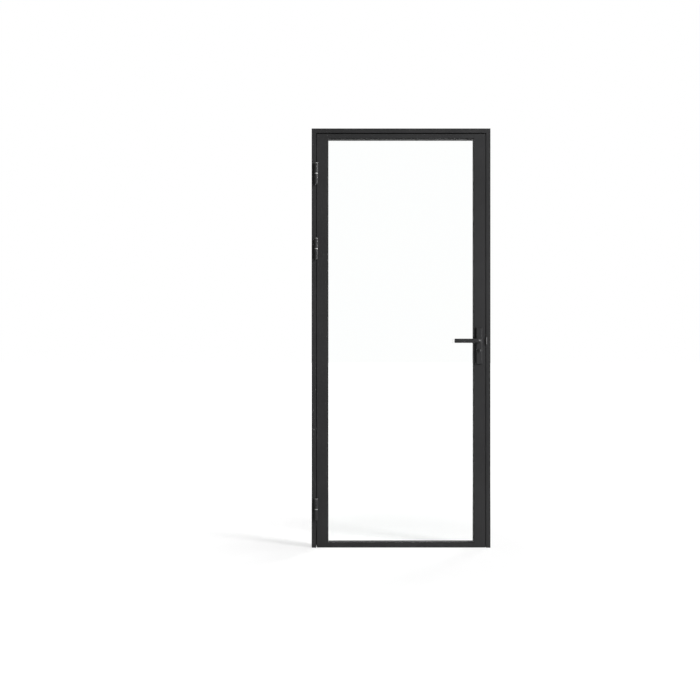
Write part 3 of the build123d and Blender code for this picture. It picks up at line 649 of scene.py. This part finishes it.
def screw_shell(at, into, radius, head_radius, length, socket, pitch):
    """A screw from its head's top at the point at, driven along into. Each row of the grid has a
    radius and a depth for every angle: a hexagonal socket, whose radius is its flat over the
    cosine of the angle from the flat's middle, a low dome, the cone, and a shank whose thread is
    a triangle wave of depth less angle. The thread and the tip are shares of the pitch."""
    angle = np.linspace(0, 2 * math.pi, screw_sides, endpoint=False)
    flat = socket / 2 / np.cos((angle + math.pi / 6) % (math.pi / 3) - math.pi / 6)
    even = np.ones(screw_sides)
    cone = head_radius - radius
    rows = [
        (0 * even, socket_depth * even),
        (flat, socket_depth * even),
        (flat, -head_dome * even),
        (head_radius * dome_start * even, -head_dome * dome_level * even),
        ((head_radius - head_edge) * even, 0 * even),
        (head_radius * even, head_edge * even),
        (radius * even, (cone + head_edge) * even),
    ]
    shank = np.arange(cone + thread_start, length - thread_end, pitch / thread_steps)
    wave = np.abs((shank[:, None] / pitch - angle[None, :] / (2 * math.pi)) % 1 * 2 - 1)
    start = np.clip((shank - shank[0]) / pitch, 0, 1)[:, None]
    rows += list(zip(radius - thread_depth * pitch * wave * start, shank[:, None] * even))
    tip = radius - tip_depth * pitch
    rows += [(tip * even, (length - head_edge) * even), (0 * even, length * even)]
    across, deep = (np.stack(values) for values in zip(*rows))
    local = np.stack([across * np.cos(angle), across * np.sin(angle), deep], axis=-1)
    drive = np.array(into, float)
    side = np.cross(drive, (0, 0, 1))
    axes = np.stack([side, np.cross(drive, side), drive])
    points = (local @ axes + at).reshape(-1, 3)
    return points, quads(len(rows), screw_sides)


def screws(name, node, heads, into, size, finish, body):
    """Screws of one size in place of a CAD node, one at each of the heads' places."""
    shells = [screw_shell(at, into, **size) for at in heads]
    made = add_piece(name, shells, finish, body)
    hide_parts(node)


faceplate_low, faceplate_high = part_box("faceplate_screws")
face_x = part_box("faceplate")[1].x
small_head = small_screw["head_radius"]
heads = [(face_x, 0, z) for z in (faceplate_low.z + small_head, faceplate_high.z - small_head)]
screws(
    "faceplate_socket_screws", "faceplate_screws", heads, (-1, 0, 0),
    small_screw, bright_steel, "leaf",
)

# Latch spring: a coil of round wire with the solid's four turns between closed ends, which the
# drawn latch presses together.
spring_start, spring_end = 0.3867, 0.4129
spring_height = 1.028
coil_radius = 0.0024
wire_radius = 0.0004
open_turns = 4.0
closed_turns = 1.2
coil_turns = open_turns + 2 * closed_turns
wire_points = 385
wire_sides = 12

# The wire's middle line is a circle's angle against a lead along X. The lead is a wire's
# thickness a turn in the closed ends and even between them.
share = np.linspace(0, 1, wire_points)
turns = share * coil_turns
open_part = np.clip((turns - closed_turns) / open_turns, 0, 1)
closed_rise = 2 * wire_radius * closed_turns
open_rise = spring_end - spring_start - 2 * wire_radius - 2 * closed_rise
first_end = np.clip(turns, 0, closed_turns)
last_end = np.clip(turns - coil_turns + closed_turns, 0, None)
lead = 2 * wire_radius * (first_end + last_end)
centre_x = spring_start + wire_radius + lead + open_rise * open_part
angle = 2 * math.pi * turns
outward = np.stack([np.zeros_like(angle), np.cos(angle), np.sin(angle)], axis=-1)
middle = np.stack([centre_x, np.zeros_like(angle), np.full_like(angle, spring_height)], axis=-1)
centre = outward * coil_radius + middle
tangent = np.gradient(centre, axis=0)
tangent /= np.linalg.norm(tangent, axis=1, keepdims=True)
binormal = np.cross(tangent, outward)
turn = np.linspace(0, 2 * math.pi, wire_sides, endpoint=False)[None, :, None]
round_wire = np.cos(turn) * outward[:, None] + np.sin(turn) * binormal[:, None]
rings = centre[:, None] + wire_radius * round_wire
coil = add_piece(
    "latch_coil_spring", [swept(rings)], bright_steel, "leaf", crease=60.0
)
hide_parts("latch_spring")
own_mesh(coil)

# Strike plate: bent stainless sheet let into the jamb, with a hole for the latch, two screw holes
# and a lip that curls round the jamb's front corner.
finish_nodes(bright_steel, "strike_lugs")

strike_low, strike_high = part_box("strike_plate")
strike_middle = (strike_low.z + strike_high.z) / 2
strike_half_height = strike_high.z - strike_middle
strike_sheet = 0.002
strike_shoulder = 0.034
strike_corner = 0.0009
lip_half_height = 0.017
lip_straight = 0.043
lip_bend = 0.0028
lip_turn = math.radians(100)
lip_folds = 13
latch_window = [(0.007, -0.009), (0.021, -0.009), (0.021, 0.009), (0.007, 0.009)]
window_corner = 0.0008
strike_screw_at = [(0.017, -0.027), (0.017, 0.027)]
strike_screw_hole = 0.00366
hole_sides = 40
strike_edge = 0.00025
strike_edge_steps = 2
strike_edge_angle = math.radians(50)


def rounded(corners, reach, steps=6):
    """A closed outline whose corners are parabolas that start reach before each corner."""
    corner = np.array(corners)
    back, on = np.roll(corner, 1, axis=0) - corner, np.roll(corner, -1, axis=0) - corner
    start = corner + back / np.linalg.norm(back, axis=1, keepdims=True) * reach
    end = corner + on / np.linalg.norm(on, axis=1, keepdims=True) * reach
    start, corner, end = start[:, None], corner[:, None], end[:, None]
    share = np.linspace(0, 1, steps)[None, :, None]
    curve = (1 - share) ** 2 * start + 2 * share * (1 - share) * corner + share**2 * end
    return curve.reshape(-1, 2)


def cut_sheet(outlines, thickness, fold_lines):
    """A flat sheet with holes, filled between its outlines, given its thickness along Z and cut
    along lines of equal X, so that it can be bent there."""
    merge_within = 1e-7
    curve = bpy.data.curves.new("blank", "CURVE")
    curve.dimensions = "2D"
    curve.fill_mode = "FRONT"
    for outline in outlines:
        spline = curve.splines.new("POLY")
        count = len(outline)
        spline.points.add(count - 1)
        points = np.column_stack([outline, np.zeros(count), np.ones(count)])
        spline.points.foreach_set("co", points.ravel())
        spline.use_cyclic_u = True
    blank = bpy.data.objects.new("blank", curve)
    sheet = bmesh.new()
    sheet.from_mesh(bpy.data.meshes.new_from_object(blank))
    bmesh.ops.remove_doubles(sheet, verts=sheet.verts, dist=merge_within)
    raised = bmesh.ops.extrude_face_region(sheet, geom=sheet.faces[:])["geom"]
    top = [item for item in raised if isinstance(item, bmesh.types.BMVert)]
    bmesh.ops.translate(sheet, verts=top, vec=(0, 0, thickness))
    for fold in fold_lines:
        geometry = sheet.verts[:] + sheet.edges[:] + sheet.faces[:]
        bmesh.ops.bisect_plane(sheet, geom=geometry, plane_co=(fold, 0, 0), plane_no=(1, 0, 0))
    mesh = bpy.data.meshes.new("blank")
    sheet.to_mesh(mesh)
    sheet.free()
    co = np.empty(len(mesh.vertices) * 3, np.float32)
    mesh.vertices.foreach_get("co", co)
    return co.reshape(-1, 3).astype(float), [list(face.vertices) for face in mesh.polygons]


lip_end = lip_straight + lip_bend * lip_turn
blank_corners = [
    (0, -strike_half_height), (strike_shoulder, -strike_half_height),
    (strike_shoulder, -lip_half_height), (lip_end, -lip_half_height),
    (lip_end, lip_half_height), (strike_shoulder, lip_half_height),
    (strike_shoulder, strike_half_height), (0, strike_half_height),
]
turn = np.linspace(0, 2 * math.pi, hole_sides, endpoint=False)
ring = np.stack([np.cos(turn), np.sin(turn)], axis=-1) * strike_screw_hole
outlines = [
    rounded(blank_corners, strike_corner), rounded(latch_window, window_corner),
    *(ring + at for at in strike_screw_at),
]
folds = np.linspace(lip_straight, lip_end, lip_folds)
flat, faces = cut_sheet(outlines, strike_sheet, [strike_shoulder, *folds[:-1]])
# Bending: up to the fold a point keeps its place; past it, its distance becomes an angle, and its
# depth in the sheet is measured towards the centre of the bend.
along, height, deep = flat.T
angle = np.clip((along - lip_straight) / lip_bend, 0, None)
bent_y = strike_high.y - np.minimum(along, lip_straight) - lip_bend * np.sin(angle)
bent = np.stack([
    strike_low.x + lip_bend * (1 - np.cos(angle)) + deep * np.cos(angle),
    bent_y + deep * np.sin(angle),
    strike_middle + height,
], axis=-1)
strike = add_piece(
    "curled_strike_plate", [(bent, faces)], satin_steel, "frame", crease=40.0
)
edge = strike.modifiers.new("edge", "BEVEL")
edge.width = strike_edge
edge.segments = strike_edge_steps
edge.limit_method = "ANGLE"
edge.angle_limit = strike_edge_angle
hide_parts("strike_plate")

# Strike screws: two more of the faceplate's screws, driven through the strike plate into the lugs
# behind the jamb's wall.
screw_low, screw_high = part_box("strike_screws")
screw_y = (screw_low.y + screw_high.y) / 2
heads = [
    (screw_low.x, screw_y, z) for z in (screw_low.z + small_head, screw_high.z - small_head)
]
screws(
    "strike_socket_screws", "strike_screws", heads, (1, 0, 0),
    small_screw, bright_steel, "frame",
)

# Furniture: a long plate and a bent bar lever on each face, with a slotted release behind, on two
# square spindles, in the hinges' smoother black coat.
finish_nodes(satin_black, "front_plate", "back_plate", "front_lever", "back_lever", "release_disc")
finish_nodes(bright_steel, "lever_spindle", "turn_spindle", "grub_screws")

# Plate bolts: two satin steel bolts with hexagon sockets, driven from the back plate through the
# leaf, that draw the two plates together.
bolt_low, bolt_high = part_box("plate_bolts")
bolt_x = (bolt_low.x + bolt_high.x) / 2
plate_bolt = {
    "radius": 0.0025, "head_radius": 0.0048, "length": bolt_high.y - bolt_low.y,
    "socket": 0.003, "pitch": 0.0008,
}
bolt_head = plate_bolt["head_radius"]
heads = [(bolt_x, bolt_high.y, z) for z in (bolt_low.z + bolt_head, bolt_high.z - bolt_head)]
screws(
    "plate_socket_bolts", "plate_bolts", heads, (0, -1, 0),
    plate_bolt, satin_steel, "leaf",
)

# Thumbturn: a cast knob in the same coat, whose round base has soft shoulders and carries an oval
# grip. Its boss turns in the front plate and holds the square spindle of the lock.
turn_low, turn_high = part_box("thumbturn")
turn_x, turn_z = (turn_low.x + turn_high.x) / 2, (turn_low.z + turn_high.z) / 2
base_radius = (turn_high.x - turn_low.x) / 2
boss_radius = 0.006
boss_length = 0.0073
spindle_half = 0.00306
spindle_depth = 0.01
base_straight = 0.003
base_depth = 0.0062
grip_start = 0.001
grip_half_width = 0.0042
grip_half_height = 0.0084
tip_round = 0.0034
tip_width = 0.25
tip_height = 0.6
knob_edge = 0.0003
knob_sides = 64
shoulder_points = 10
grip_points = 5
tip_points = 12
round_power, grip_power, square_power = 2, 2.3, 60
near_axis = 1e-7


def oval(across, up, power):
    """Distances from the axis of an oval for every angle: the angle's cosine over the half width
    and its sine over the half height, each to the power, added, and the root of that sum over 1."""
    angle = np.linspace(0, 2 * math.pi, knob_sides, endpoint=False)
    parts = np.abs(np.cos(angle) / across) ** power + np.abs(np.sin(angle) / up) ** power
    reach = parts ** (-1 / power)
    return np.stack([reach * np.cos(angle), reach * np.sin(angle)], axis=-1)


def circle(radius):
    """The same points of a circle."""
    return oval(radius, radius, round_power)


# Depth runs from the knob's back to its tip. The shoulder falls from base to grip, and the tip
# closes, each as a quarter of an ellipse.
knob_back = turn_high.y - boss_length
knob_depth = knob_back - turn_low.y
fall = base_depth - base_straight
shoulder = base_straight + fall * np.sin(np.linspace(0, math.pi / 2, shoulder_points))
side = np.linspace(base_depth + grip_start, knob_depth - tip_round, grip_points)
tip = knob_depth - tip_round * (1 - np.sin(np.linspace(0, math.pi / 2, tip_points)[1:-1]))
depths = np.concatenate([[knob_edge], shoulder, side, tip])
spread = np.sqrt(1 - np.clip((depths - base_straight) / fall, 0, 1) ** 2)
close = np.sqrt(1 - np.clip((depths - knob_depth + tip_round) / tip_round, 0, 1) ** 2)
socket_floor = turn_high.y - spindle_depth
socket_square = oval(spindle_half, spindle_half, square_power)
knob_rows = [
    (socket_floor, circle(near_axis)),
    (socket_floor, socket_square),
    (turn_high.y, socket_square),
    (turn_high.y, circle(boss_radius - knob_edge)),
    (turn_high.y - knob_edge, circle(boss_radius)),
    (knob_back, circle(boss_radius)),
    (knob_back, circle(base_radius - knob_edge)),
]
for depth, wide, shut in zip(depths, spread, close):
    width = grip_half_width + (base_radius - grip_half_width) * wide
    height = grip_half_height + (base_radius - grip_half_height) * wide
    across = width * (tip_width + (1 - tip_width) * shut)
    up = height * (tip_height + (1 - tip_height) * shut)
    power = round_power + (grip_power - round_power) * (1 - wide)
    knob_rows.append((knob_back - depth, oval(across, up, power)))
knob_rows.append((turn_low.y, circle(near_axis)))
rings = np.stack([
    np.column_stack([turn_x + ring[:, 0], np.full(knob_sides, y), turn_z + ring[:, 1]])
    for y, ring in knob_rows
])
knob_shell = (rings.reshape(-1, 3), quads(len(rings), knob_sides))
knob = add_piece(
    "rounded_thumbturn", [knob_shell], satin_black, "thumbturn", crease=40.0
)
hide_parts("thumbturn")
